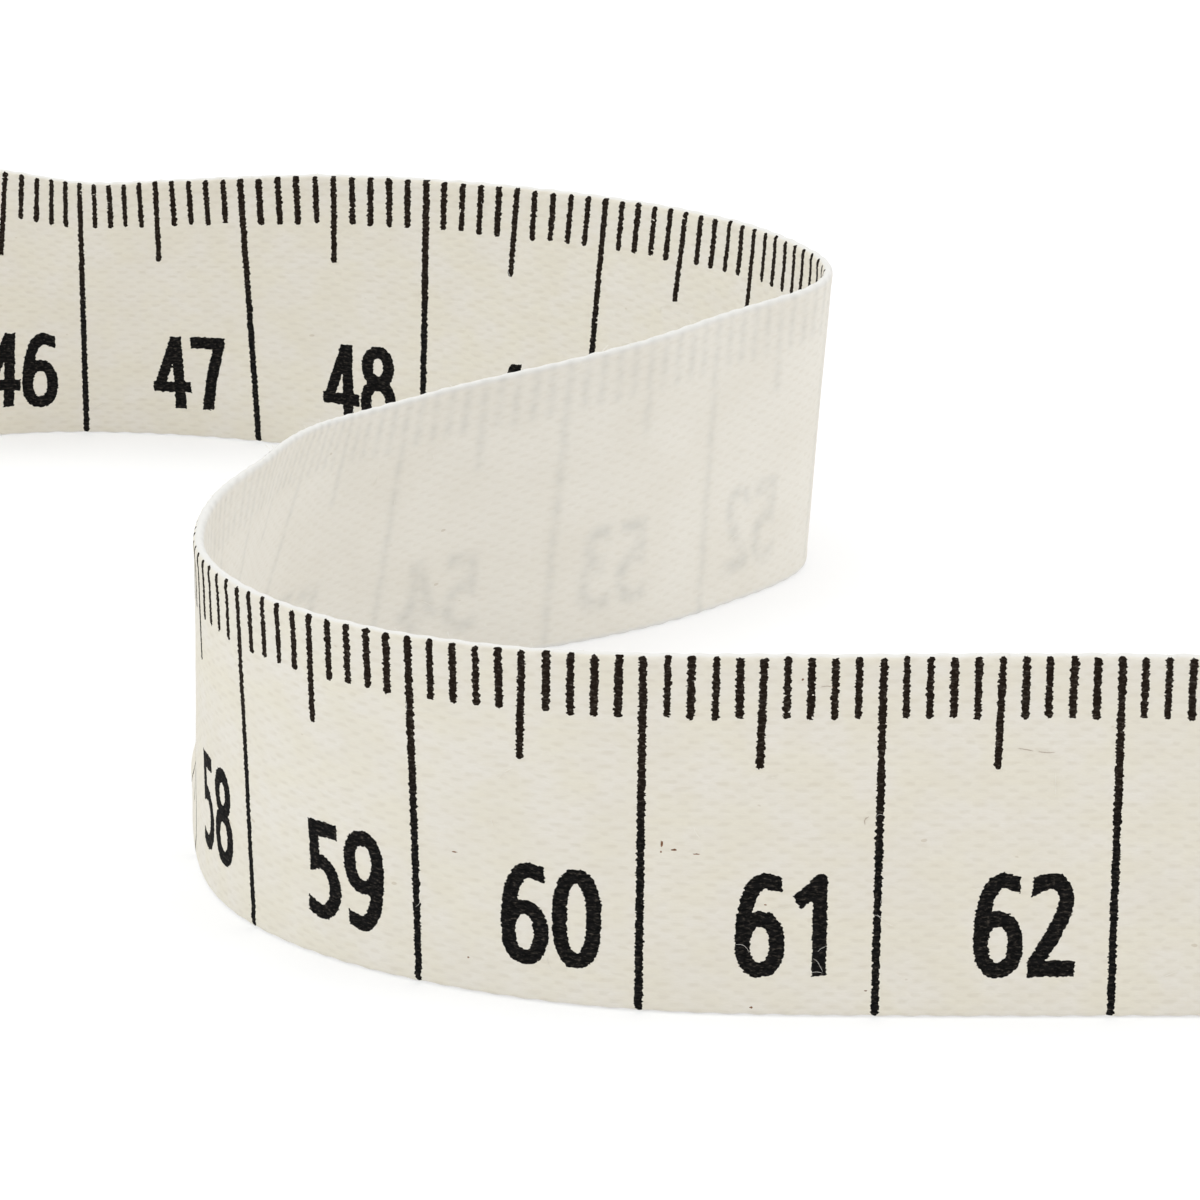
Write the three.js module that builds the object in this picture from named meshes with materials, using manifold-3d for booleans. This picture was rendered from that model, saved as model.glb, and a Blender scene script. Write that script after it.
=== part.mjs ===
// Cloth tape measure: a 150 cm woven cotton band, 16 mm wide, standing on its edge in an
// S-curve, with both ends wound into neat rolls and a folded metal tip with an eyelet on
// each end. Millimetres, +Z up, standing on z = 0, origin under the middle of its box.
import * as THREE from 'three';
import { mergeVertices } from 'three/addons/utils/BufferGeometryUtils.js';
import Module from 'manifold-3d';

// ---- driving dimensions -------------------------------------------------------------
const LENGTH = 1500;        // from the outer end of one tip to the outer end of the other
const WIDTH = 16;           // width of the band, which is its height as it stands
const THICK = 0.45;         // woven cotton
const CRIMPED = 0.3;        // the cotton where the tips press it

// Route of the band's middle line. s runs from 0 at the start tip to LENGTH at the end tip.
// HEADING is the direction of travel towards falling s, LEAN the tilt of the band, both in
// degrees at equal steps of s from KNOT_0.
const KNOT_0 = 437.5;
const KNOT_STEP = 7.5;
const HEADING = [226.0, 222.0, 206.0, 181.0, 164.7, 156.2, 152.0, 148.0, 138.3, 115.6,
  60.0, 47.9, 33.3, 27.4, 38.6, 70.6, 93.3, 94.0, 101.0, 123.7, 144.7, 160.1, 175.2,
  180.3, 181.4, 181.1, 181.0, 181.0, 181.0];
const LEAN = [0, 0, 6.0, 15.6, 12.2, 3.7, -3.7, -8.4, -7.9, -3.8, -4.7, -4.6, -9.2, -13.9,
  -17.8, -17.1, -13.3, -4.4, 0.6, 2.9, 3.9, 2.6, -0.1, -1.6, -2.3, -1.5, -0.4, 0, 0];
const S_PLACE = 600;        // the route passes PLACE at this s
const PLACE = [3.1252, -54.6403];
const S_ROLL_A = 444;       // the start roll holds the band from its tip to here
const S_ROLL_B = 645.5;     // the end roll holds it from here to its tip
const PITCH = 0.8;          // from one turn of a roll to the next
const R_CORE = 10.5;        // inner radius of the rolls
const R_CURL = 5;           // the last bend, which turns the flat tip across the core
const CURL = R_CURL * Math.PI / 2;
const FLAT_END = 12.5;      // straight end of the band, which the tip holds

// Flex lines: the band is divided here, with a narrow gap, so that it can bend.
const FLEX_START_ROLL = 450;
const FLEX_RIGHT_BEND = 509;
const FLEX_LEFT_BEND = 578;
const FLEX_END_ROLL = 634;
const ROLL_GAP = 0.3;
const BEND_GAP = 0.9;       // wider, where the band leans at a flex line

// End tips: thin sheet folded round the end of the band.
const TIP_LENGTH = 12;
const TIP_SHEET = 0.35;
const TIP_SLOT = 0.7;       // between the two leaves
const BAND_SHORT = 1.0;     // the band ends this far inside the tip
const EYELET_AT = 5.2;      // from the outer end of the tip
const EYELET_BORE_R = 1.5;
const EYELET_TUBE_R = 1.9;
const EYELET_FLANGE_R = 3.1;
const EYELET_FLANGE_T = 0.28;
const HOLE_R = 2.15;        // in the tip and the band
const FLANGE_GAP = 0.2;

const ROLL_STEP = 3.0;      // spacing of the sections along the band
const RUN_STEP = 2.0;

// ---- the route ----------------------------------------------------------------------
const rad = Math.PI / 180;
const TABLE_STEP = 0.1;

function atKnots(values, s) {
  const u = (s - KNOT_0) / KNOT_STEP;
  const i = Math.min(Math.max(Math.floor(u), 1), values.length - 3);
  const t = u - i;
  const [a, b, c, d] = [values[i - 1], values[i], values[i + 1], values[i + 2]];
  return 0.5 * (2 * b + (c - a) * t + (2 * a - 5 * b + 4 * c - d) * t * t
    + (3 * b - 3 * c + d - a) * t * t * t);
}

// Angle turned after a length d into a roll whose spiral is long mm long.
function turned(d, long) {
  const r0 = Math.sqrt(R_CORE * R_CORE + PITCH * long / Math.PI);
  const r = Math.sqrt(r0 * r0 - PITCH * Math.min(d, long) / Math.PI);
  return 2 * Math.PI / PITCH * (r0 - r) + Math.min(Math.max(d - long, 0), CURL) / R_CURL;
}

const LONG_A = S_ROLL_A - FLAT_END - CURL;
const LONG_B = LENGTH - S_ROLL_B - FLAT_END - CURL;

function heading(s) {
  if (s < S_ROLL_A) return atKnots(HEADING, S_ROLL_A) * rad - turned(S_ROLL_A - s, LONG_A);
  if (s > S_ROLL_B) return atKnots(HEADING, S_ROLL_B) * rad + turned(s - S_ROLL_B, LONG_B);
  return atKnots(HEADING, s) * rad;
}

function lean(s) {
  return s < S_ROLL_A || s > S_ROLL_B ? 0 : atKnots(LEAN, s) * rad;
}

const COUNT = Math.round(LENGTH / TABLE_STEP);
const tableX = new Float64Array(COUNT + 1);
const tableY = new Float64Array(COUNT + 1);
for (let i = COUNT - 1; i >= 0; i--) {
  const a = heading((i + 0.5) * TABLE_STEP);
  tableX[i] = tableX[i + 1] + Math.cos(a) * TABLE_STEP;
  tableY[i] = tableY[i + 1] + Math.sin(a) * TABLE_STEP;
}
const PLACE_INDEX = Math.round(S_PLACE / TABLE_STEP);
const SHIFT_X = PLACE[0] - tableX[PLACE_INDEX];
const SHIFT_Y = PLACE[1] - tableY[PLACE_INDEX];

function place(s) {
  const u = Math.min(Math.max(s / TABLE_STEP, 0), COUNT);
  const i = Math.min(Math.floor(u), COUNT - 1);
  const t = u - i;
  return [
    tableX[i] + (tableX[i + 1] - tableX[i]) * t + SHIFT_X,
    tableY[i] + (tableY[i + 1] - tableY[i]) * t + SHIFT_Y,
  ];
}

function thickness(s) {
  const fromEnd = Math.min(s, LENGTH - s);
  const t = Math.min(Math.max((fromEnd - TIP_LENGTH) / 1.5, 0), 1);
  return CRIMPED + (THICK - CRIMPED) * t;
}

// ---- solids -------------------------------------------------------------------------
// The band from s0 to s1: a thin wall whose bottom edge lies flat on z = 0.
function band(s0, s1, step) {
  const stations = [];
  const n = Math.ceil((s1 - s0) / step);
  for (let i = 0; i <= n; i++) stations.push(s0 + (s1 - s0) * i / n);
  for (const s of [TIP_LENGTH, TIP_LENGTH + 1.5, LENGTH - TIP_LENGTH, LENGTH - TIP_LENGTH - 1.5]) {
    if (s > s0 + 0.2 && s < s1 - 0.2 && stations.every((v) => Math.abs(v - s) > 0.2)) stations.push(s);
  }
  stations.sort((p, q) => p - q);
  const position = [];
  const index = [];
  for (const s of stations) {
    const [x, y] = place(s);
    const a = heading(s);
    const l = lean(s);
    const nx = -Math.sin(a);
    const ny = Math.cos(a);
    const h = thickness(s) / 2;
    const top = Math.sin(l) * WIDTH;
    const z = Math.cos(l) * WIDTH;
    position.push(x + nx * h, y + ny * h, 0, x - nx * h, y - ny * h, 0,
      x + nx * (top - h), y + ny * (top - h), z, x + nx * (top + h), y + ny * (top + h), z);
  }
  const last = stations.length - 1;
  for (let i = 0; i < last; i++) {
    for (let k = 0; k < 4; k++) {
      const a = i * 4 + k;
      const b = i * 4 + (k + 1) % 4;
      index.push(a, b, a + 4, b, b + 4, a + 4);
    }
  }
  index.push(0, 2, 1, 0, 3, 2);
  const e = last * 4;
  index.push(e, e + 1, e + 2, e, e + 2, e + 3);
  const g = new THREE.BufferGeometry();
  g.setAttribute('position', new THREE.Float32BufferAttribute(position, 3));
  g.setIndex(index);
  return g;
}

const wasm = await Module();
wasm.setup();

function solid(geometry) {
  const g = geometry.clone();
  g.deleteAttribute('normal');
  g.deleteAttribute('uv');
  const m = mergeVertices(g, 1e-4);
  return new wasm.Manifold(new wasm.Mesh({
    numProp: 3,
    vertProperties: new Float32Array(m.attributes.position.array),
    triVerts: new Uint32Array(m.index.array),
  }));
}

function geometryOf(manifold) {
  const m = manifold.getMesh();
  const g = new THREE.BufferGeometry();
  g.setAttribute('position', new THREE.Float32BufferAttribute(m.vertProperties, 3));
  g.setIndex(Array.from(m.triVerts));
  return g;
}

// Frame of a tip: its outer end at the origin, x into the band, y through the sheet, z up.
function tipFrame(atStart) {
  const s = atStart ? 0 : LENGTH;
  const [x, y] = place(s);
  const [bx, by] = place(atStart ? 5 : LENGTH - 5);
  const turn = Math.atan2(by - y, bx - x);
  return new THREE.Matrix4().makeRotationZ(turn).setPosition(x, y, 0);
}

// Two leaves and the fold at the outer end, drawn in plan and raised to the band's width.
function tipBlank() {
  const outer = TIP_SLOT / 2 + TIP_SHEET;
  const inner = TIP_SLOT / 2;
  const shape = new THREE.Shape();
  shape.moveTo(TIP_LENGTH, -outer);
  shape.lineTo(TIP_LENGTH, -inner);
  shape.lineTo(outer, -inner);
  shape.absarc(outer, 0, inner, -Math.PI / 2, Math.PI / 2, true);
  shape.lineTo(TIP_LENGTH, inner);
  shape.lineTo(TIP_LENGTH, outer);
  shape.lineTo(outer, outer);
  shape.absarc(outer, 0, outer, Math.PI / 2, Math.PI * 1.5, false);
  shape.lineTo(TIP_LENGTH, -outer);
  return new THREE.ExtrudeGeometry(shape, { depth: WIDTH, bevelEnabled: false, curveSegments: 8 });
}

// A round rod through the tip's hole, along y.
function holeRod() {
  const g = new THREE.CylinderGeometry(HOLE_R, HOLE_R, 6, 28);
  g.translate(EYELET_AT, 0, WIDTH / 2);
  return g;
}

// Eyelet: a short tube with a flange rolled out on either face of the tip.
function eyelet() {
  const half = TIP_SLOT / 2 + TIP_SHEET + FLANGE_GAP;
  const out = half + EYELET_FLANGE_T;
  const ring = [
    [EYELET_BORE_R, -out + 0.1], [EYELET_BORE_R + 0.15, -out], [EYELET_FLANGE_R - 0.15, -out],
    [EYELET_FLANGE_R, -half], [EYELET_TUBE_R, -half], [EYELET_TUBE_R, half],
    [EYELET_FLANGE_R, half], [EYELET_FLANGE_R - 0.15, out], [EYELET_BORE_R + 0.15, out],
    [EYELET_BORE_R, out - 0.1], [EYELET_BORE_R, -out + 0.1],
  ].map(([r, h]) => new THREE.Vector2(r, h));
  const g = new THREE.LatheGeometry(ring, 28);
  g.deleteAttribute('normal');
  g.deleteAttribute('uv');
  const m = mergeVertices(g, 1e-4);
  m.translate(EYELET_AT, 0, WIDTH / 2);
  return m;
}

// ---- the assembly -------------------------------------------------------------------
const tape = new THREE.Group();

function cotton(colour) {
  return new THREE.MeshStandardMaterial({ color: colour, roughness: 0.95, metalness: 0 });
}
function brass(colour) {
  return new THREE.MeshStandardMaterial({ color: colour, roughness: 0.32, metalness: 1 });
}
function add(name, geometry, material) {
  geometry.computeVertexNormals();
  const mesh = new THREE.Mesh(geometry, material);
  mesh.name = name;
  tape.add(mesh);
}

const half = ROLL_GAP / 2;
const wide = BEND_GAP / 2;
const startHole = solid(holeRod().applyMatrix4(tipFrame(true)));
const endHole = solid(holeRod().applyMatrix4(tipFrame(false)));

add('tape_start_roll',
  geometryOf(solid(band(BAND_SHORT, FLEX_START_ROLL - wide, ROLL_STEP)).subtract(startHole)), cotton(0xe8e2d5));
add('tape_back_run', band(FLEX_START_ROLL + wide, FLEX_RIGHT_BEND - wide, RUN_STEP), cotton(0xe8e2d5));
add('tape_middle_run', band(FLEX_RIGHT_BEND + wide, FLEX_LEFT_BEND - wide, RUN_STEP), cotton(0xe6e1d6));
add('tape_front_run', band(FLEX_LEFT_BEND + wide, FLEX_END_ROLL - half, RUN_STEP), cotton(0xe9e3d7));
add('tape_end_roll',
  geometryOf(solid(band(FLEX_END_ROLL + half, LENGTH - BAND_SHORT, ROLL_STEP)).subtract(endHole)), cotton(0xe8e2d5));

for (const [name, atStart, hole] of [['start', true, startHole], ['end', false, endHole]]) {
  const frame = tipFrame(atStart);
  add(`${name}_tip`, geometryOf(solid(tipBlank().applyMatrix4(frame)).subtract(hole)), brass(0xc9a95c));
  add(`${name}_tip_eyelet`, eyelet().applyMatrix4(frame), brass(0xd3b56a));
}

export default tape;
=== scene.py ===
"""Cloth tape measure: the woven, printed band, its rolls, tips and eyelets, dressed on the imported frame."""
import math

import bpy
import numpy as np
from mathutils import Matrix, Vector
from mathutils.geometry import delaunay_2d_cdt


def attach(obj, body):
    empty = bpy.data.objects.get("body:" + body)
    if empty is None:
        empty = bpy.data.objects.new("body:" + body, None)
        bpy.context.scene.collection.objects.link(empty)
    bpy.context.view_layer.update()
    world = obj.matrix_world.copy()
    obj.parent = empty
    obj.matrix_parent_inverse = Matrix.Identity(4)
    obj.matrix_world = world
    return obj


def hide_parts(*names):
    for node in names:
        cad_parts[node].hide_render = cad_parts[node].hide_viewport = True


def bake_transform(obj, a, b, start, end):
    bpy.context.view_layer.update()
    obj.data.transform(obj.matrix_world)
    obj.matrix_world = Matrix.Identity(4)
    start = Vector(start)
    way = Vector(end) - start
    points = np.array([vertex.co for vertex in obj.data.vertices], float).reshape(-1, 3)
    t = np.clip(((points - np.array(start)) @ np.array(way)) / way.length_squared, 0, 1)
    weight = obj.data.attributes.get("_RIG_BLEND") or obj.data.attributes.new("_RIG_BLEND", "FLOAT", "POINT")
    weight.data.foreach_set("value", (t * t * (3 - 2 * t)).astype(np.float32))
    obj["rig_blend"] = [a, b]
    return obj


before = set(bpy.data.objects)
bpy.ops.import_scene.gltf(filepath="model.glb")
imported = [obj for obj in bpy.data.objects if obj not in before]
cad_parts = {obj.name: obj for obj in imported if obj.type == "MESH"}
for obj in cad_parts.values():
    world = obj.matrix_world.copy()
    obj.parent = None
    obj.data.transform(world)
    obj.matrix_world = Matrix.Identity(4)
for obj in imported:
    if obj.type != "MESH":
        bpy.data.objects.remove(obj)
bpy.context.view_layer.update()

# ---------------------------------------------------------------- the band's route, in mm
LENGTH, WIDTH, THICK, CRIMPED = 1500.0, 16.0, 0.45, 0.3
KNOT_0, KNOT_STEP = 437.5, 7.5
HEADING = np.array([
    226.0, 222.0, 206.0, 181.0, 164.7, 156.2, 152.0, 148.0, 138.3, 115.6, 60.0, 47.9, 33.3, 27.4, 38.6,
    70.6, 93.3, 94.0, 101.0, 123.7, 144.7, 160.1, 175.2, 180.3, 181.4, 181.1, 181.0, 181.0, 181.0])
LEAN = np.array([
    0, 0, 6.0, 15.6, 12.2, 3.7, -3.7, -8.4, -7.9, -3.8, -4.7, -4.6, -9.2, -13.9, -17.8,
    -17.1, -13.3, -4.4, 0.6, 2.9, 3.9, 2.6, -0.1, -1.6, -2.3, -1.5, -0.4, 0, 0])
S_PLACE, PLACE = 600.0, (3.1252, -54.6403)
S_ROLL_A, S_ROLL_B = 444.0, 645.5
PITCH, R_CORE, R_CURL, FLAT_END = 0.8, 10.5, 5.0, 12.5
CURL = R_CURL * math.pi / 2
LONG_A = S_ROLL_A - FLAT_END - CURL
LONG_B = LENGTH - S_ROLL_B - FLAT_END - CURL
TIP_LENGTH, TIP_SHEET, TIP_SLOT, BAND_SHORT = 12.0, 0.35, 0.7, 1.0
EYELET_AT, BORE_R, TUBE_R, FLANGE_R, FLANGE_T, HOLE_R, FLANGE_GAP = 5.2, 1.5, 1.9, 3.1, 0.28, 2.15, 0.2


def at_knots(values, s):
    u = (s - KNOT_0) / KNOT_STEP
    i = np.clip(np.floor(u).astype(int), 1, len(values) - 3)
    t = u - i
    a, b, c, d = values[i - 1], values[i], values[i + 1], values[i + 2]
    return 0.5 * (2 * b + (c - a) * t + (2 * a - 5 * b + 4 * c - d) * t * t + (3 * b - 3 * c + d - a) * t ** 3)


def turned(d, long):
    r0 = math.sqrt(R_CORE ** 2 + PITCH * long / math.pi)
    r = np.sqrt(r0 * r0 - PITCH * np.minimum(d, long) / math.pi)
    return 2 * math.pi / PITCH * (r0 - r) + np.clip(d - long, 0, CURL) / R_CURL


def heading(s):
    a = np.radians(at_knots(HEADING, np.clip(s, S_ROLL_A, S_ROLL_B)))
    a = a - np.where(s < S_ROLL_A, turned(np.maximum(S_ROLL_A - s, 0), LONG_A), 0)
    return a + np.where(s > S_ROLL_B, turned(np.maximum(s - S_ROLL_B, 0), LONG_B), 0)


def lean(s):
    inside = (s >= S_ROLL_A) & (s <= S_ROLL_B)
    return np.where(inside, np.radians(at_knots(LEAN, np.clip(s, S_ROLL_A, S_ROLL_B))), 0)


STEP = 0.1
COUNT = int(round(LENGTH / STEP))
TABLE_S = np.arange(COUNT + 1) * STEP
_mid = heading((np.arange(COUNT) + 0.5) * STEP)
TABLE_X, TABLE_Y = np.zeros(COUNT + 1), np.zeros(COUNT + 1)
TABLE_X[:-1] = np.cumsum((np.cos(_mid) * STEP)[::-1])[::-1]
TABLE_Y[:-1] = np.cumsum((np.sin(_mid) * STEP)[::-1])[::-1]
_k = int(round(S_PLACE / STEP))
TABLE_X += PLACE[0] - TABLE_X[_k]
TABLE_Y += PLACE[1] - TABLE_Y[_k]


def place(s):
    return np.interp(s, TABLE_S, TABLE_X), np.interp(s, TABLE_S, TABLE_Y)


# ---------------------------------------------------------------- seeded value noise
_rng = np.random.default_rng(20)
_LATTICE = _rng.uniform(-1, 1, (8, 256, 256))


def noise(x, y, seed=0):
    """Smooth noise from -1 to 1 with a lattice of 1."""
    i, j = np.floor(x).astype(int), np.floor(y).astype(int)
    u, v = x - i, y - j
    u, v = u * u * (3 - 2 * u), v * v * (3 - 2 * v)
    t = _LATTICE[seed]
    a, b = t[i & 255, j & 255], t[(i + 1) & 255, j & 255]
    c, d = t[i & 255, (j + 1) & 255], t[(i + 1) & 255, (j + 1) & 255]
    return (a * (1 - u) + b * u) * (1 - v) + (c * (1 - u) + d * u) * v


# ---------------------------------------------------------------- the cross-section
EDGE = 0.24          # rounding of the selvedges across the width
_phi = np.linspace(0, math.pi / 2, 25)
_w = np.concatenate([EDGE * (1 - np.cos(_phi)), np.arange(EDGE + 0.05, WIDTH - EDGE, 0.05),
                     (WIDTH - EDGE * (1 - np.cos(_phi)))[::-1]])
_d = np.minimum(_w, WIDTH - _w)
_t = THICK / 2 * np.sqrt(np.clip(1 - ((EDGE - np.minimum(_d, EDGE)) / EDGE) ** 2, 0, 1))
_t = _t + 0.03 * np.exp(-((_d - 0.5) / 0.28) ** 2) * np.clip(_d / EDGE, 0, 1)
PROFILE_V = np.concatenate([[0], np.cumsum(np.hypot(np.diff(_w), np.diff(_t)))])
PROFILE_W, PROFILE_T = _w, _t
V_END = PROFILE_V[-1]


def v_of_w(w):
    return np.interp(w, PROFILE_W, PROFILE_V)


def surface(s, v, side):
    """Points of the band's printed (side 1) or bare (side -1) face, in mm, and each one's height on the band."""
    w, t = np.interp(v, PROFILE_V, PROFILE_W), np.interp(v, PROFILE_V, PROFILE_T)
    x, y = place(s)
    a, l = heading(s), lean(s)
    from_end = np.minimum(s, LENGTH - s)
    t = t * (CRIMPED + (THICK - CRIMPED) * np.clip((from_end - TIP_LENGTH) / 1.5, 0, 1)) / THICK
    d = np.minimum(w, WIDTH - w)
    near = np.clip(1 - d / 0.5, 0, 1) ** 2
    # the weft turns back at each selvedge, so the edge is very slightly scalloped
    top = 0.022 * np.sin(2 * math.pi * s / 1.27) + 0.02 * noise(s / 0.55, s * 0 + 3.3, 1)
    low = 0.022 * np.sin(2 * math.pi * s / 1.27 + 2.2) + 0.02 * noise(s / 0.55, s * 0 + 9.7, 2) + 0.042
    in_tip = np.clip((from_end - TIP_LENGTH) / 2, 0, 1)
    w = w + in_tip * near * np.where(w > WIDTH / 2, top - 0.03, low)
    wave = in_tip * (0.035 * noise(s / 5.0, w / 7.0, 3) + 0.012 * noise(s / 1.7, w / 2.3, 4)) * np.clip(w / 3, 0, 1)
    out = np.sin(l) * w + side * t + wave
    # the turns of a roll sit a little unevenly on each other
    return np.stack([x - np.sin(a) * out, y + np.cos(a) * out, np.cos(l) * w + lift(s)], 1), w


def lift(s):
    inside = np.where(s < S_ROLL_A, S_ROLL_A - s, np.where(s > S_ROLL_B, s - S_ROLL_B, 0.0))
    from_end = np.minimum(s, LENGTH - s)
    fade = np.clip((inside - 25) / 60, 0, 1) * np.clip((from_end - 35) / 60, 0, 1)
    return fade * (0.16 + 0.16 * noise(s / 41.0, s * 0 + 5.5, 5))


WARP, WEFT = 0.30, 0.63      # spacing of the threads across and along the band, mm


# ---------------------------------------------------------------- numerals, ticks and lines
FIGURE = 4.5          # height of the numerals
SQUASH = 0.94         # the bars of the numerals are a little thicker than their stems
STROKE = 0.325        # half of a stem


def smooth(points, n=8):
    """A Catmull-Rom curve through the points."""
    p = np.array(points, float)
    p = np.concatenate([[2 * p[0] - p[1]], p, [2 * p[-1] - p[-2]]])
    out = []
    for i in range(1, len(p) - 2):
        t = np.linspace(0, 1, n, endpoint=False)[:, None]
        a, b, c, d = p[i - 1], p[i], p[i + 1], p[i + 2]
        out.append(0.5 * (2 * b + (c - a) * t + (2 * a - 5 * b + 4 * c - d) * t ** 2 + (3 * b - 3 * c + d - a) * t ** 3))
    return np.concatenate(out + [p[-2:-1]])


def ring(cx, cy, rx, ry, power=2.25, n=44):
    a = np.linspace(0, 2 * math.pi, n + 1)
    c, q = np.cos(a), np.sin(a)
    return np.stack([cx + rx * np.sign(c) * np.abs(c) ** (2 / power), cy + ry * np.sign(q) * np.abs(q) ** (2 / power)], 1)


def stroke(x, y, line, half=STROKE, cuts=()):
    """Signed distance to a brush stroke along a line. Each cut is a point and a direction: the stroke stops there."""
    p = np.array(line, float) * (1, SQUASH)
    ys = y * SQUASH
    best = np.full(x.shape, 9.0)
    for (ax, ay), (bx, by) in zip(p[:-1], p[1:]):
        ex, ey = bx - ax, by - ay
        size = ex * ex + ey * ey
        if size < 1e-9:
            continue
        u = np.clip(((x - ax) * ex + (ys - ay) * ey) / size, 0, 1)
        best = np.minimum(best, np.hypot(x - ax - u * ex, ys - ay - u * ey) - half)
    for (cx, cy), (dx, dy) in cuts:
        size = math.hypot(dx, dy)
        past = ((x - cx) * dx + (y - cy) * dy) / size
        best = np.where(np.hypot(x - cx, y - cy) < half * 2.6, np.maximum(best, past), best)
    return best


def bar(x, y, x0, y0, x1, y1):
    return np.maximum(np.maximum(x0 - x, x - x1), np.maximum(y0 - y, y - y1))


def outline(x, y, points):
    """Signed distance to a polygon."""
    p = np.array(points, float)
    q = np.roll(p, -1, 0)
    best, inside = np.full(x.shape, 9.0), np.zeros(x.shape, bool)
    for (ax, ay), (bx, by) in zip(p, q):
        ex, ey = bx - ax, by - ay
        t = np.clip(((x - ax) * ex + (y - ay) * ey) / (ex * ex + ey * ey), 0, 1)
        best = np.minimum(best, np.hypot(x - ax - t * ex, y - ay - t * ey))
        cross = ((ay > y) != (by > y)) & (x < ex * (y - ay) / (ey if abs(ey) > 1e-9 else 1e-9) + ax)
        inside ^= cross
    return np.where(inside, -best, best)


def figure(ch, x, y):
    if ch == "0":
        return stroke(x, y, ring(1.06, 2.22, 0.745, 1.925, 2.3))
    if ch == "1":
        return outline(x, y, [(1.0, 0.04), (1.61, 0.04), (1.61, 4.36), (1.50, 4.55), (1.33, 4.58), (1.18, 4.52), (0.18, 3.56),
                              (0.50, 3.00), (0.58, 3.02), (0.88, 3.34), (0.96, 3.28), (1.0, 3.10)])
    if ch == "2":
        top = stroke(x, y, smooth([(0.16, 3.88), (0.54, 4.10), (1.00, 4.23), (1.40, 4.08), (1.64, 3.58), (1.59, 2.98),
                                   (1.35, 2.32), (0.98, 1.60), (0.40, 0.62)]), cuts=[((0.20, 3.95), (-1, 0.1))])
        top = np.maximum(top, 0.05 - x)
        return np.minimum(np.maximum(top, 0.3 - y), bar(x, y, 0.05, -0.02, 2.05, 0.69))
    if ch == "3":
        upper = stroke(x, y, smooth([(0.14, 3.96), (0.58, 4.18), (1.06, 4.22), (1.48, 3.96), (1.57, 3.42), (1.36, 2.76),
                                     (0.92, 2.44), (0.52, 2.42)]), cuts=[((0.22, 4.0), (-1, 0)), ((0.60, 2.42), (-1, 0))])
        lower = stroke(x, y, smooth([(0.60, 2.42), (1.10, 2.42), (1.57, 2.08), (1.75, 1.38), (1.55, 0.70), (1.08, 0.30),
                                     (0.58, 0.30), (0.06, 0.54)]), cuts=[((0.12, 0.50), (-1, 0)), ((0.60, 2.42), (-1, 0))])
        return np.minimum(upper, lower)
    if ch == "4":
        slope = stroke(x, y, [(0.34, 1.30), (1.50, 4.40)], 0.30)
        slope = np.maximum(np.maximum(slope, y - FIGURE), np.maximum(1.02 - y, 0.02 - x))
        return np.minimum(np.minimum(slope, bar(x, y, 0.02, 1.02, 2.20, 1.68)), bar(x, y, 1.22, 0.0, 1.85, FIGURE))
    if ch == "5":
        bowl = stroke(x, y, smooth([(0.30, 2.42), (0.74, 2.62), (1.20, 2.52), (1.60, 2.06), (1.72, 1.40), (1.56, 0.78),
                                    (1.16, 0.36), (0.70, 0.30), (0.06, 0.56)]), cuts=[((0.10, 0.52), (-1, 0.1)), ((0.27, 2.4), (-1, 0))])
        return np.minimum(bowl, np.minimum(bar(x, y, 0.27, 2.20, 0.88, FIGURE), bar(x, y, 0.27, 3.80, 1.93, FIGURE)))
    if ch in "69":
        if ch == "9":
            x, y = 2.12 - x, 4.50 - y
        arm = stroke(x, y, smooth([(0.345, 1.35), (0.355, 2.05), (0.43, 2.85), (0.60, 3.52), (0.85, 4.00), (1.17, 4.23),
                                   (1.56, 4.17), (2.06, 4.03)]), cuts=[((1.97, 4.06), (1, 0.05))])
        return np.minimum(arm, stroke(x, y, ring(1.07, 1.40, 0.725, 1.135, 2.25)))
    if ch == "7":
        slope = stroke(x, y, smooth([(1.79, 4.1), (1.52, 3.1), (1.14, 1.7), (0.78, -0.3)]), 0.32)
        return np.minimum(np.maximum(slope, np.maximum(-y, y - FIGURE)), bar(x, y, 0.10, 3.80, 2.12, FIGURE))
    return np.minimum(stroke(x, y, ring(1.06, 3.34, 0.62, 0.86, 2.1)), stroke(x, y, ring(1.06, 1.32, 0.74, 1.02, 2.15)))


FIG_STEP, FIG_PAD = 0.03, 0.6
_gx = np.arange(-FIG_PAD, 2.2 + FIG_PAD, FIG_STEP)
_gy = np.arange(-FIG_PAD, FIGURE + FIG_PAD + 0.1, FIG_STEP)
_GX, _GY = np.meshgrid(_gx, _gy, indexing="ij")
FIGURES = {ch: figure(ch, _GX, _GY) for ch in "0123456789"}


def lookup(ch, x, y):
    """The numeral's distance table, read between its points."""
    f = FIGURES[ch]
    u, v = (x + FIG_PAD) / FIG_STEP, (y + FIG_PAD) / FIG_STEP
    i = np.clip(u.astype(int), 0, f.shape[0] - 2)
    j = np.clip(v.astype(int), 0, f.shape[1] - 2)
    u, v = np.clip(u - i, 0, 1), np.clip(v - j, 0, 1)
    return (f[i, j] * (1 - u) + f[i + 1, j] * u) * (1 - v) + (f[i, j + 1] * (1 - u) + f[i + 1, j + 1] * u) * v


ADVANCE = 2.28
NUMBER_LEFT = -6.03      # left edge of a two-figure number, from its centimetre line
BASELINE = 1.79          # above the lower edge
TOP_GAP = 0.07           # bare cloth above the ticks
TICK_MM, TICK_HALF = 2.82, 5.02      # ends of the short ticks, below the upper edge
PRINT_FROM, PRINT_TO = TIP_LENGTH + 0.8, LENGTH - TIP_LENGTH - 0.8
DRIFT = {58: (-0.05, 0.33), 59: (0.02, 0.13), 60: (-0.03, 0.01), 61: (0.0, 0.01), 62: (0.05, 0.07)}      # numbers printed a little off their place


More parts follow.
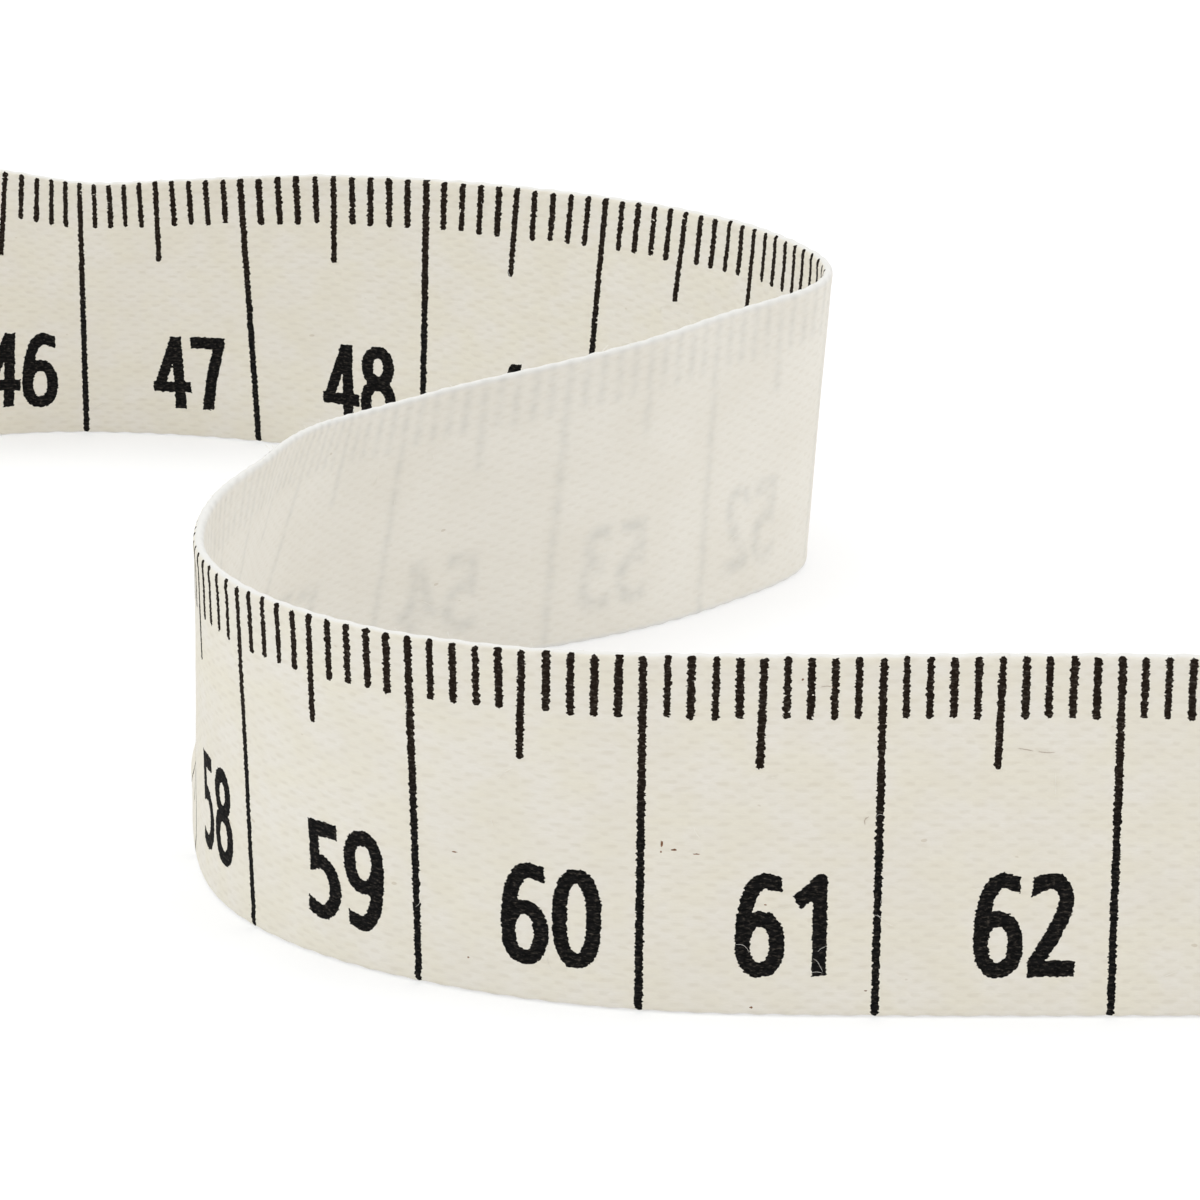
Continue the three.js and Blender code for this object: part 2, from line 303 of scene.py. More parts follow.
def ink_field(s, w):
    """Signed distance to the print on a grid of s and w (1-D arrays), negative inside, before the cloth roughens it."""
    f = np.full((len(s), len(w)), 1.0)

    def window(s0, s1, w0, w1):
        i0, i1 = np.searchsorted(s, (s0, s1))
        j0, j1 = np.searchsorted(w, (w0, w1))
        return slice(i0, i1), slice(j0, j1)

    def lay(win, value):
        f[win] = np.minimum(f[win], value)

    first, last = int(math.floor(s[0])) - 1, int(math.ceil(s[-1])) + 1
    for mm in range(first, last + 1):
        if not PRINT_FROM <= mm <= PRINT_TO:
            continue
        r = np.random.default_rng(1000 + mm).uniform(-1, 1, 8)
        if mm % 10 == 0:
            half, low = 0.168 + 0.010 * r[0], 0.10
        elif mm % 5 == 0:
            half, low = 0.158 + 0.010 * r[0], WIDTH - TICK_HALF + 0.06 * r[1]
        else:
            half, low = 0.158 + 0.013 * r[0], WIDTH - TICK_MM + 0.07 * r[1]
        high = WIDTH - TOP_GAP + 0.06 * r[2]
        if mm % 10:
            centre, slant, pivot = mm + 0.04 + 0.02 * r[3], (0.010 if mm % 5 else 0.030) + 0.007 * r[4], high
        else:
            centre, slant, pivot = mm + 0.02 * r[3], 0.0063 + 0.002 * r[4], 0.61 * WIDTH
        win = window(mm - 0.9, mm + 0.9, low - 0.5, high + 0.5)
        x, y = np.meshgrid(s[win[0]], w[win[1]], indexing="ij")
        x = x - centre - slant * (y - pivot)
        half = half + (0.012 + 0.012 * noise(y / 0.9, y * 0 + mm, 5)) * np.cos(2 * math.pi * y / WARP + 3 * r[5])
        d = np.maximum(np.abs(x) - half, np.maximum(low - y, y - high))
        # rounded ends
        ends = np.minimum(y - low, high - y)
        d = np.maximum(d, np.where(ends < half * 0.9, np.hypot(np.maximum(np.abs(x) - half * 0.1, 0), np.maximum(half * 0.9 - ends, 0)) - half * 0.9, d))
        lay(win, d)
    for cm in range(first // 10, last // 10 + 2):
        text = str(cm)
        left = 10 * cm + NUMBER_LEFT + (2 - len(text)) * ADVANCE * (0.5 if len(text) == 1 else 0.62)
        if cm < 1 or left < PRINT_FROM or 10 * cm > PRINT_TO:
            continue
        r = np.random.default_rng(5000 + cm).uniform(-1, 1, 4)
        off, up = DRIFT.get(cm, (0.0, 0.0))
        for k, ch in enumerate(text):
            at = left + k * ADVANCE + 0.015 * r[0] + off
            win = window(at - 0.45, at + 2.6, BASELINE - 0.45, BASELINE + FIGURE + 0.9)
            x, y = np.meshgrid(s[win[0]] - at, w[win[1]] - BASELINE - 0.03 * r[1] - up, indexing="ij")
            if x.size:
                lay(win, lookup(ch, x, y))
    return f


def roughen(f, s, w):
    """Ink takes on the raised threads and misses the hollows, so its edges step from thread to thread."""
    S, W = np.meshgrid(s, w, indexing="ij")
    edge = 0.018 * noise(S / 0.22, W / 0.13, 0) + 0.042 * noise(S / 0.13, W / 0.056, 1) + 0.010 * noise(S / 0.8, W / 0.7, 2)
    edge += 0.030 * noise(S / 0.07, W / 0.042, 3)
    hole = noise(S / 0.12 + 40, W / 0.045 + 7, 6) + 0.50 * noise(S / 1.3, W / 1.1, 7)
    g = f + edge - 0.004
    few = np.where(W < 8.5, 1.42, 1.13)
    return np.maximum(g, np.where(f < 0.0, (hole - few) * 0.22, -1.0))


def loops_of(f, s, w, shortest):
    """Closed outlines of f < 0, each as an array of (s, w), with the inside on the left."""
    ns, nw = f.shape
    inside = f < 0
    code = (inside[:-1, :-1] * 1 + inside[1:, :-1] * 2 + inside[1:, 1:] * 4 + inside[:-1, 1:] * 8)
    i, j = np.nonzero((code > 0) & (code < 15))
    c = code[i, j]
    base = ns * nw
    edges = np.stack([i * nw + j, base + (i + 1) * nw + j, i * nw + j + 1, base + i * nw + j], 1)
    table = {1: [(0, 3)], 2: [(1, 0)], 3: [(1, 3)], 4: [(2, 1)], 6: [(2, 0)], 7: [(2, 3)], 8: [(3, 2)], 9: [(0, 2)],
             11: [(1, 2)], 12: [(3, 1)], 13: [(0, 1)], 14: [(3, 0)]}
    middle = (f[i, j] + f[i + 1, j] + f[i, j + 1] + f[i + 1, j + 1]) < 0
    starts, ends = [], []
    for k, pairs in table.items():
        m = c == k
        for a, b in pairs:
            starts.append(edges[m, a]); ends.append(edges[m, b])
    for k, joined, apart in ((5, [(0, 1), (2, 3)], [(0, 3), (2, 1)]), (10, [(3, 0), (1, 2)], [(1, 0), (3, 2)])):
        for pairs, flag in ((joined, True), (apart, False)):
            m = (c == k) & (middle == flag)
            for a, b in pairs:
                starts.append(edges[m, a]); ends.append(edges[m, b])
    starts, ends = np.concatenate(starts), np.concatenate(ends)
    follow = dict(zip(starts.tolist(), ends.tolist()))
    loops = []
    while follow:
        first, here = follow.popitem()
        chain = [first]
        while here != first and here in follow:
            chain.append(here)
            here = follow.pop(here)
        if here == first and len(chain) > 3:
            loops.append(np.array(chain))
    out = []
    for ids in loops:
        up = ids >= base
        k = np.where(up, ids - base, ids)
        a, b = k // nw, k % nw
        a2, b2 = np.where(up, a, a + 1), np.where(up, b + 1, b)
        t = f[a, b] / (f[a, b] - f[a2, b2])
        p = np.stack([s[a] + (s[a2] - s[a]) * t, w[b] + (w[b2] - w[b]) * t], 1)
        for tolerance in (0.0015, 0.002, 0.002, 0.0025):
            if len(p) < 8:
                break
            q, r = np.roll(p, 1, 0), np.roll(p, -1, 0)
            e = r - q
            size = np.maximum(np.hypot(*e.T), 1e-9)
            off = np.abs((p[:, 0] - q[:, 0]) * e[:, 1] - (p[:, 1] - q[:, 1]) * e[:, 0]) / size
            near = np.hypot(*(p - q).T) < shortest
            drop = (off < tolerance * shortest / 0.015) & (size < 0.5) | near
            drop[1::2] = False
            p = p[~drop]
            p = np.roll(p, 1, 0)
        area = 0.5 * np.sum(p[:, 0] * np.roll(p[:, 1], -1) - np.roll(p[:, 0], -1) * p[:, 1])
        if abs(area) > 0.0035 and len(p) >= 4:
            out.append((p, area > 0))
    return out


# ---------------------------------------------------------------- sheet meshes
def rows_at():
    """Heights, along the profile, of the rows that round the selvedges off."""
    low = np.interp(EDGE * (1 - np.cos(np.radians([24, 46, 68, 90]))), PROFILE_W, PROFILE_V)
    return np.concatenate([low, [low[-1] + 0.16, low[-1] + 0.36], V_END - low, [V_END - low[-1] - 0.16, V_END - low[-1] - 0.36]])


def triangles(points, edges, faces, s0):
    """Constrained triangulation: points, triangles, and the ids of the input faces that each triangle lies in."""
    local = points - (s0, 0.0)
    co, _, tri, _, _, of = delaunay_2d_cdt(local.tolist(), edges, faces, 0, 1e-6, True)
    co = np.array([(c[0], c[1]) for c in co])
    co[:, 1] = np.where(co[:, 1] < 1e-4, 0.0, np.where(co[:, 1] > V_END - 1e-4, V_END, co[:, 1]))
    return co + (s0, 0.0), np.array(tri), of


def frame_points(s0, s1, edge_step, column_v):
    n = max(int(math.ceil((s1 - s0) / edge_step)), 2)
    along = np.linspace(s0, s1, n + 1)
    low = np.stack([along, np.zeros(n + 1)], 1)
    high = np.stack([along, np.full(n + 1, V_END)], 1)
    inner = column_v[(column_v > 1e-6) & (column_v < V_END - 1e-6)]
    left = np.stack([np.full(len(inner), s0), inner], 1)
    right = np.stack([np.full(len(inner), s1), inner], 1)
    pts = np.concatenate([low, right, high[::-1], left[::-1]])
    edges = [(k, (k + 1) % len(pts)) for k in range(len(pts))]
    return pts, edges, along


def filling(s0, s1, rows, edge_step, step_s, step_v):
    """Points inside the outline: rows along the selvedges, and a staggered grid between them."""
    pts = []
    n = max(int(math.ceil((s1 - s0) / edge_step)), 2)
    for k, v in enumerate(rows):
        a = np.linspace(s0, s1, n + 1)[1:-1]
        if k % 2:
            a = (np.linspace(s0, s1, n + 1)[:-1] + (s1 - s0) / n / 2)
        pts.append(np.stack([a, np.full(len(a), v)], 1))
    lo, hi = rows[rows < V_END / 2].max(), rows[rows > V_END / 2].min()
    nv = max(int(round((hi - lo) / step_v)), 2)
    m = max(int(round((s1 - s0) / step_s)), 2)
    for k in range(1, nv):
        a = s0 + (np.arange(m) + (0.25 if k % 2 else 0.75)) * (s1 - s0) / m
        pts.append(np.stack([a, np.full(m, lo + (hi - lo) * k / nv)], 1))
    return np.concatenate(pts)


def away_from(pts, lines, gap):
    """The points that are at least about gap from the given ones."""
    if not len(lines):
        return pts
    key = lambda p: np.floor(p / gap).astype(np.int64)
    taken = set()
    for di in (-1, 0, 1):
        for dj in (-1, 0, 1):
            k = key(lines) + (di, dj)
            taken.update((k[:, 0] * 1000003 + k[:, 1]).tolist())
    k = key(pts)
    keep = np.array([(c not in taken) for c in (k[:, 0] * 1000003 + k[:, 1]).tolist()])
    return pts[keep]


def make_mesh(name, points_mm, tris, uv_band, uv_bake, slot_of, materials, values=()):
    me = bpy.data.meshes.new(name)
    me.vertices.add(len(points_mm))
    me.vertices.foreach_set("co", (points_mm * 0.001).astype(np.float32).ravel())
    n = len(tris)
    me.loops.add(n * 3)
    me.loops.foreach_set("vertex_index", tris.astype(np.int32).ravel())
    me.polygons.add(n)
    me.polygons.foreach_set("loop_start", np.arange(0, n * 3, 3, dtype=np.int32))
    for m in materials:
        me.materials.append(m)
    me.polygons.foreach_set("material_index", slot_of.astype(np.int32))
    me.polygons.foreach_set("use_smooth", np.ones(n, bool))
    me.uv_layers.new(name="Band").uv.foreach_set("vector", uv_band.astype(np.float32).ravel())
    if uv_bake is not None:
        me.uv_layers.new(name="OFBake").uv.foreach_set("vector", uv_bake.astype(np.float32).ravel())
    me.uv_layers.active_index = 0
    for key, value in values:
        me.attributes.new(key, "FLOAT", "POINT").data.foreach_set("value", value.astype(np.float32))
    me.update(calc_edges=True)
    me.validate()
    me.set_sharp_from_angle(angle=math.radians(52))
    ob = bpy.data.objects.new(name, me)
    bpy.context.scene.collection.objects.link(ob)
    return ob


def strip_uv(s, v, side, s0, s1):
    """Lays the two faces of a band out as rows of strips that fill a square without overlapping."""
    long = s1 - s0
    rows = max(1, int(round(math.sqrt(long / (2 * V_END)))))
    each = long / rows
    mid = s.mean(1)
    row = np.clip(((mid - s0) / each).astype(int), 0, rows - 1)
    strip = 2 * row + (side < 0)
    margin = 0.012
    u = margin + (1 - 2 * margin) * (s - s0 - row[:, None] * each) / each
    tall = 1 / (2 * rows)
    return np.stack([np.clip(u, 0.002, 0.998), (strip[:, None] + 0.04 + 0.92 * v / V_END) * tall], 2)


def band_piece(name, s0, s1, materials, h, edge_step, step_s, step_v, back_s, back_v, holes=(), flecks=()):
    """One stretch of the band from s0 to s1: a closed thin sheet with its print as faces of its own."""
    rows = rows_at()
    low, high = rows[rows < V_END / 2].max(), rows[rows > V_END / 2].min()
    column = np.concatenate([rows, np.arange(low + step_v, high - step_v / 2, step_v)])
    column = np.sort(column)
    border, border_edges, along = frame_points(s0, s1, edge_step, column)

    # print
    gs = np.arange(math.floor((s0 - 1.2) / h) * h, s1 + 1.2, h)
    gw = np.arange(0.0, WIDTH + h / 2, h)
    field = ink_field(gs, gw)
    rough = roughen(field, gs, gw) if h < 0.1 else field + 0.03 * noise(*np.meshgrid(gs / 0.3, gw / 0.2, indexing="ij"), 0)
    edge_of_sheet = np.minimum(gw - 0.06, WIDTH - 0.05 - gw)[None, :]
    rough = np.maximum(rough, -edge_of_sheet)
    rough[[0, -1], :] = 1.0
    rough[:, [0, -1]] = 1.0
    loops = loops_of(rough, gs, gw, h * 0.45)
    loops = [(p, ink) for p, ink in loops if p[:, 0].max() > s0 and p[:, 0].min() < s1]
    pts, edges, faces, kinds = [border], list(border_edges), [], []
    at = len(border)
    lines = []
    for p, ink in loops:
        q = np.stack([p[:, 0], v_of_w(p[:, 1])], 1)
        pts.append(q); lines.append(q)
        faces.append(list(range(at, at + len(q))) if ink else list(range(at + len(q) - 1, at - 1, -1)))
        kinds.append(1 if ink else 0)
        at += len(q)
    for ring_pts in flecks:
        q = np.stack([ring_pts[:, 0], v_of_w(ring_pts[:, 1])], 1)
        pts.append(q); lines.append(q)
        faces.append(list(range(at, at + len(q))))
        kinds.append(2)
        at += len(q)
    hole_faces = []
    for ring_pts in holes:
        q = np.stack([ring_pts[:, 0], v_of_w(ring_pts[:, 1])], 1)
        pts.append(q); lines.append(q)
        hole_faces.append(len(faces))
        faces.append(list(range(at, at + len(q))))
        kinds.append(3)
        at += len(q)
    inner = filling(s0, s1, rows, edge_step, step_s, step_v)
    if lines:
        inner = away_from(inner, np.concatenate(lines), max(h * 1.6, 0.09))
    pts.append(inner)
    co, tri, of = triangles(np.concatenate(pts), edges, faces, s0)
    centre = co[tri].mean(1)
    kind = np.array([(lambda k: 3 if 3 in k else 0 if (0 in k or not k) else max(k))({kinds[x] for x in ids}) for ids in of])
    keep = (centre[:, 0] > s0 + 1e-7) & (centre[:, 0] < s1 - 1e-7) & (kind != 3)
    front_co, front, front_kind = co, tri[keep], kind[keep]

    # bare side
    b_edges, b_faces, b_pts = list(border_edges), [], [border]
    at = len(border)
    for ring_pts in holes:
        q = np.stack([ring_pts[:, 0], v_of_w(ring_pts[:, 1])], 1)
        b_pts.append(q)
        b_faces.append(list(range(at, at + len(q))))
        at += len(q)
    inner = filling(s0, s1, rows, edge_step, back_s, back_v)
    if holes:
        inner = away_from(inner, np.concatenate(b_pts[1:]), 0.3)
    b_pts.append(inner)
    back_co, btri, bof = triangles(np.concatenate(b_pts), b_edges, b_faces, s0)
    back = btri[np.array([not k for k in bof])]

    # one closed mesh: the two faces share their outer edges, and hole rims
    def used(co, tri):
        ids = np.unique(tri)
        index = np.full(len(co), -1)
        index[ids] = np.arange(len(ids))
        return co[ids], index[tri]

    front_co, front = used(front_co, front)
    back_co, back = used(back_co, back)
    offset = len(front_co)
    join = np.arange(len(back_co)) + offset
    rim = {}
    for k, (a, b) in enumerate(front_co.tolist()):
        if b == 0 or b == V_END:
            rim[(round(a, 3), b)] = k
    for k, (a, b) in enumerate(back_co.tolist()):
        if b == 0 or b == V_END:
            join[k] = rim[(round(a, 3), b)]
    all_co = np.concatenate([front_co, back_co])
    side = np.concatenate([np.ones(len(front_co)), -np.ones(len(back_co))])
    shape, _ = surface(all_co[:, 0], all_co[:, 1], side)
    w = np.interp(all_co[:, 1], PROFILE_V, PROFILE_W)

    # painted shade on the bare side: the print on the other face blocks light that comes through the thin cloth
    g = ink_field(gs, gw)
    u, v = (all_co[:, 0] - gs[0]) / h, w / h
    i, j = np.clip(u.astype(int), 0, g.shape[0] - 2), np.clip(v.astype(int), 0, g.shape[1] - 2)
    u, v = np.clip(u - i, 0, 1), np.clip(v - j, 0, 1)
    d = (g[i, j] * (1 - u) + g[i + 1, j] * u) * (1 - v) + (g[i, j + 1] * (1 - u) + g[i + 1, j + 1] * u) * v
    ghost = np.clip(0.5 - d / 0.75, 0, 1)
    ghost = np.where(side < 0, ghost * ghost * (3 - 2 * ghost), 0)

    tris = [front, join[back[:, ::-1]]]
    slot = [front_kind, np.zeros(len(back), int)]
    uv_s = [all_co[front][:, :, 0], back_co[back[:, ::-1]][:, :, 0]]
    uv_v = [all_co[front][:, :, 1], back_co[back[:, ::-1]][:, :, 1]]
    sides = [np.ones(len(front)), -np.ones(len(back))]

    def zip_up(f_ids, b_ids, flip):
        """Closes the sheet between a line of printed-side points and one of bare-side points, both rising."""
        out, a, b = [], 0, 0
        fv, bv = all_co[f_ids, 1], all_co[b_ids, 1]
        while a < len(f_ids) - 1 or b < len(b_ids) - 1:
            if b == len(b_ids) - 1 or (a < len(f_ids) - 1 and fv[a + 1] <= bv[b + 1]):
                t = (f_ids[a], b_ids[b], f_ids[a + 1]); a += 1
            else:
                t = (f_ids[a], b_ids[b], b_ids[b + 1]); b += 1
            if len(set(t)) == 3:
                out.append(t[::-1] if flip else t)
        return np.array(out)

    for end, flip in ((s0, False), (s1, True)):
        f_ids = np.nonzero(np.abs(front_co[:, 0] - end) < 1e-4)[0]
        f_ids = f_ids[np.argsort(front_co[f_ids, 1])]
        b_ids = np.nonzero(np.abs(back_co[:, 0] - end) < 1e-4)[0]
        b_ids = b_ids[np.argsort(back_co[b_ids, 1])]
        cap = zip_up(f_ids, join[b_ids], flip)
        # triangles between two lines that share their first and last points
        tris.append(cap)
        slot.append(np.zeros(len(cap), int))
        uv_s.append(all_co[cap][:, :, 0]); uv_v.append(all_co[cap][:, :, 1])
        sides.append(-np.ones(len(cap)))
    for ring_pts in holes:
        ring_v = np.stack([ring_pts[:, 0], v_of_w(ring_pts[:, 1])], 1)
        f_ids = [int(np.argmin(np.hypot(*(front_co - q).T))) for q in ring_v]
        b_ids = [int(np.argmin(np.hypot(*(back_co - q).T))) + offset for q in ring_v]
        quad = []
        m = len(ring_v)
        for k in range(m):
            q = (k + 1) % m
            quad += [(f_ids[k], b_ids[q], b_ids[k]), (f_ids[k], f_ids[q], b_ids[q])]
        quad = np.array(quad)
        tris.append(quad); slot.append(np.zeros(len(quad), int))
        uv_s.append(all_co[quad][:, :, 0]); uv_v.append(all_co[quad][:, :, 1])
        sides.append(-np.ones(len(quad)))
    tris, slot, sides = np.concatenate(tris), np.concatenate(slot), np.concatenate(sides)
    uv_s, uv_v = np.concatenate(uv_s), np.concatenate(uv_v)
    live = np.unique(tris)
    index = np.full(len(all_co), -1)
    index[live] = np.arange(len(live))
    uv_w = np.interp(uv_v, PROFILE_V, PROFILE_W)
    ob = make_mesh(name, shape[live], index[tris], np.stack([uv_s, uv_w], 2).reshape(-1, 2),
                   strip_uv(uv_s, uv_v, sides, s0, s1).reshape(-1, 2), slot, materials, (("ghost", ghost[live]), ("bare", (side < 0).astype(float)[live])))
    print(f"{name}: {len(live)} points, {len(tris)} triangles")
    return ob


# ---------------------------------------------------------------- materials
def tree(name):
    m = bpy.data.materials.new(name)
    m.use_nodes = True
    nt = m.node_tree
    return m, nt, nt.nodes["Principled BSDF"]


class Net:
    """Short hand for a material's nodes."""

    def __init__(self, nt):
        self.nt = nt

    def _in(self, socket, value):
        if hasattr(value, "is_linked") or hasattr(value, "links"):
            self.nt.links.new(value, socket)
        else:
            socket.default_value = value

    def math(self, op, a, b=0.0, c=0.0, clamp=False):
        n = self.nt.nodes.new("ShaderNodeMath")
        n.operation, n.use_clamp = op, clamp
        for k, x in enumerate((a, b, c)):
            self._in(n.inputs[k], x)
        return n.outputs[0]

    def ramp(self, x, lo, hi, a=0.0, b=1.0, smooth=True):
        n = self.nt.nodes.new("ShaderNodeMapRange")
        n.interpolation_type = "SMOOTHSTEP" if smooth else "LINEAR"
        for k, v in zip(("Value", "From Min", "From Max", "To Min", "To Max"), (x, lo, hi, a, b)):
            self._in(n.inputs[k], v)
        return n.outputs[0]

    def mix(self, f, a, b):
        n = self.nt.nodes.new("ShaderNodeMix")
        n.data_type = "RGBA"
        self._in(n.inputs[0], f)
        for k, x in ((6, a), (7, b)):
            if isinstance(x, tuple):
                n.inputs[k].default_value = (*x, 1.0)
            else:
                self._in(n.inputs[k], x)
        return n.outputs[2]

    def noise(self, vec, scale, detail=2.0, rough=0.5):
        n = self.nt.nodes.new("ShaderNodeTexNoise")
        self.nt.links.new(vec, n.inputs["Vector"])
        n.inputs["Scale"].default_value = scale
        n.inputs["Detail"].default_value = detail
        n.inputs["Roughness"].default_value = rough
        return n.outputs["Fac"]

    def join(self, x, y, z=0.0):
        n = self.nt.nodes.new("ShaderNodeCombineXYZ")
        for k, v in enumerate((x, y, z)):
            self._in(n.inputs[k], v)
        return n.outputs[0]

    def band(self):
        """Place on the band in mm: along it, and up from its lower edge."""
        n = self.nt.nodes.new("ShaderNodeUVMap")
        n.uv_map = "Band"
        q = self.nt.nodes.new("ShaderNodeSeparateXYZ")
        self.nt.links.new(n.outputs[0], q.inputs[0])
        return q.outputs[0], q.outputs[1]

    def bump(self, height, distance, strength=1.0):
        n = self.nt.nodes.new("ShaderNodeBump")
        n.inputs["Strength"].default_value = strength
        n.inputs["Distance"].default_value = distance
        self.nt.links.new(height, n.inputs["Height"])
        return n.outputs[0]


def weave(net):
    """Height of a plain weave and depth of its hollows, 0 to 1, its loose fibres, and the place on the band."""
    s, w = net.band()
    slow = net.noise(net.join(net.math("MULTIPLY", s, 0.55), net.math("MULTIPLY", w, 1.5)), 1.0, 2.0)
    jitter = net.ramp(slow, 0.3, 0.7, -0.20, 0.20, False)
    row_at = net.math("DIVIDE", net.math("ADD", w, net.math("MULTIPLY", jitter, 0.22)), WARP)
    row = net.math("FLOOR", row_at)
    odd = net.math("MULTIPLY", net.math("FRACT", net.math("MULTIPLY", row, 0.5)), 2.0)
    along = net.math("ADD", net.math("DIVIDE", s, 2 * WEFT), net.math("ADD", net.math("MULTIPLY", odd, 0.5), jitter))
    over = net.math("MULTIPLY_ADD", net.math("COSINE", net.math("MULTIPLY", along, 2 * math.pi)), 0.5, 0.5)
    across = net.math("SINE", net.math("MULTIPLY", net.math("FRACT", row_at), math.pi))
    fibre = net.noise(net.join(net.math("MULTIPLY", s, 3.6), net.math("MULTIPLY", w, 20.0)), 1.0, 3.0, 0.65)
    patch = net.noise(net.join(net.math("MULTIPLY", s, 1.1), net.math("MULTIPLY", w, 2.1)), 1.0, 2.0)
    body = net.math("MULTIPLY_ADD", across, net.ramp(over, 0.10, 0.90, 0.5, -0.5), 0.5)
    height = net.math("ADD", net.math("MULTIPLY", body, 0.62), net.math("MULTIPLY", fibre, 0.38))
    hollow = net.math("MULTIPLY", net.ramp(across, 0.25, 1.0), net.ramp(over, 0.40, 0.95))
    hollow = net.math("MULTIPLY", hollow, net.ramp(patch, 0.34, 0.66, 0.45, 1.0))
    return height, hollow, fibre, s, w


def cotton_material():
    m, nt, p = tree("woven_cotton")
    net = Net(nt)
    height, hollow, fibre, s, w = weave(net)
    place_ = net.join(s, w)
    bare = nt.nodes.new("ShaderNodeAttribute")
    bare.attribute_name = "bare"
    tint = net.noise(place_, 0.42, 2.0)
    base = net.mix(net.ramp(tint, 0.36, 0.64), (0.748, 0.711, 0.643), (0.739, 0.697, 0.590))
    # small irregular warmer patches, about a millimetre across
    mottle = net.noise(net.join(net.math("MULTIPLY", s, 0.85), net.math("MULTIPLY", w, 1.5)), 1.0, 2.0)
    base = net.mix(net.ramp(mottle, 0.40, 0.66, 0.0, 0.38), base, (0.705, 0.655, 0.550))
    # the bare face is cooler in tone and painted lighter, a painted stand-in for light that comes through the cloth and
    # bounces onto it
    base = net.mix(bare.outputs["Fac"], base, (0.770, 0.745, 0.686))
    base = net.mix(net.math("MULTIPLY", net.ramp(fibre, 0.30, 0.70, 0.0, 0.37), net.ramp(bare.outputs["Fac"], 0.0, 1.0, 1.0, 0.7)), base, (0.672, 0.626, 0.532))
    # painted shade in the hollows between the threads, fainter on the bare face
    base = net.mix(net.math("MULTIPLY", hollow, net.ramp(bare.outputs["Fac"], 0.0, 1.0, 0.33, 0.20)), base, (0.560, 0.510, 0.415))
    # threads differ a little, and the cloth is faintly cloudy
    thread = net.noise(net.join(net.math("MULTIPLY", s, 0.07), net.math("MULTIPLY", w, 3.3)), 1.0, 1.0)
    cloud = net.noise(place_, 0.22, 3.0)
    base = net.mix(net.ramp(thread, 0.30, 0.72, 0.0, 0.20), base, (0.756, 0.727, 0.660))
    base = net.mix(net.ramp(cloud, 0.36, 0.72, 0.0, 0.25), base, (0.672, 0.628, 0.540))
    # whiter, tighter threads along the selvedges
    near = net.math("MINIMUM", w, net.math("SUBTRACT", WIDTH, w))
    rim = net.math("MAXIMUM", net.ramp(near, 0.02, 0.16, 0.8, 0.0), net.math("MULTIPLY", bare.outputs["Fac"], net.ramp(near, 0.05, 0.42, 0.8, 0.0)))
    base = net.mix(rim, base, (0.715, 0.712, 0.694))
    # specks of seed husk
    husk = net.noise(net.join(net.math("MULTIPLY", s, 1.3), net.math("MULTIPLY", w, 2.6)), 1.0, 0.0)
    base = net.mix(net.ramp(husk, 0.872, 0.90, 0.0, 0.30), base, (0.36, 0.27, 0.17))
    # painted shade of the print on the other face, where its ink blocks light that comes through the thin cloth
    g = nt.nodes.new("ShaderNodeAttribute")
    g.attribute_name = "ghost"
    show_through_patchiness = net.noise(net.join(net.math("MULTIPLY", s, 0.9), net.math("MULTIPLY", w, 1.2)), 1.0, 3.0)
    show_through_shade = net.math("MULTIPLY", g.outputs["Fac"], net.ramp(show_through_patchiness, 0.32, 0.68, 0.07, 0.22))
    base = net.mix(show_through_shade, base, (0.240, 0.262, 0.270))
    nt.links.new(base, p.inputs["Base Color"])
    nt.links.new(net.ramp(height, 0.0, 1.0, 0.98, 0.88, False), p.inputs["Roughness"])
    nt.links.new(net.bump(height, 0.00005, 0.45), p.inputs["Normal"])
    p.inputs["Specular IOR Level"].default_value = 0.10
    p.inputs["Sheen Weight"].default_value = 0.04
    p.inputs["Sheen Roughness"].default_value = 0.5
    return m


def ink_material():
    m, nt, p = tree("printing_ink")
    net = Net(nt)
    height, hollow, fibre, s, w = weave(net)
    base = net.mix(net.ramp(height, 0.35, 0.75), (0.0026, 0.0027, 0.0028), (0.0070, 0.0066, 0.0065))
    # the print is a warmer black towards the upper edge
    base = net.mix(net.ramp(w, 6.6, 12.0, 0.0, 0.85), base, (0.0140, 0.0085, 0.0052))
    worn = net.noise(net.join(net.math("MULTIPLY", s, 4.0), net.math("MULTIPLY", w, 9.0)), 1.0, 3.0, 0.65)
    base = net.mix(net.ramp(worn, 0.50, 0.80, 0.0, net.ramp(w, 6.6, 12.0, 0.56, 0.78)), base, (0.130, 0.110, 0.090))
    base = net.mix(net.math("MULTIPLY", hollow, net.ramp(fibre, 0.4, 0.7, 0.0, 0.30)), base, (0.110, 0.098, 0.085))
    nt.links.new(base, p.inputs["Base Color"])
    nt.links.new(net.ramp(height, 0.0, 1.0, 0.92, 0.74, False), p.inputs["Roughness"])
    nt.links.new(net.bump(height, 0.00005, 0.40), p.inputs["Normal"])
    p.inputs["Specular IOR Level"].default_value = 0.045
    return m


def fleck_material():
    m, nt, p = tree("seed_fleck")
    net = Net(nt)
    height, hollow, fibre, s, w = weave(net)
    base = net.mix(net.ramp(fibre, 0.35, 0.65), (0.100, 0.044, 0.022), (0.300, 0.165, 0.095))
    nt.links.new(base, p.inputs["Base Color"])
    nt.links.new(net.bump(height, 0.00004, 0.5), p.inputs["Normal"])
    p.inputs["Roughness"].default_value = 0.9
    p.inputs["Specular IOR Level"].default_value = 0.15
    return m


def fibre_material():
    m, nt, p = tree("loose_fibre")
    net = Net(nt)
    t = nt.nodes.new("ShaderNodeTexCoord").outputs["Object"]
    base = net.mix(net.ramp(net.noise(t, 2500.0, 2.0), 0.35, 0.65), (0.70, 0.67, 0.60), (0.86, 0.84, 0.79))
    nt.links.new(base, p.inputs["Base Color"])
    p.inputs["Roughness"].default_value = 0.8
    p.inputs["Specular IOR Level"].default_value = 0.25
    return m


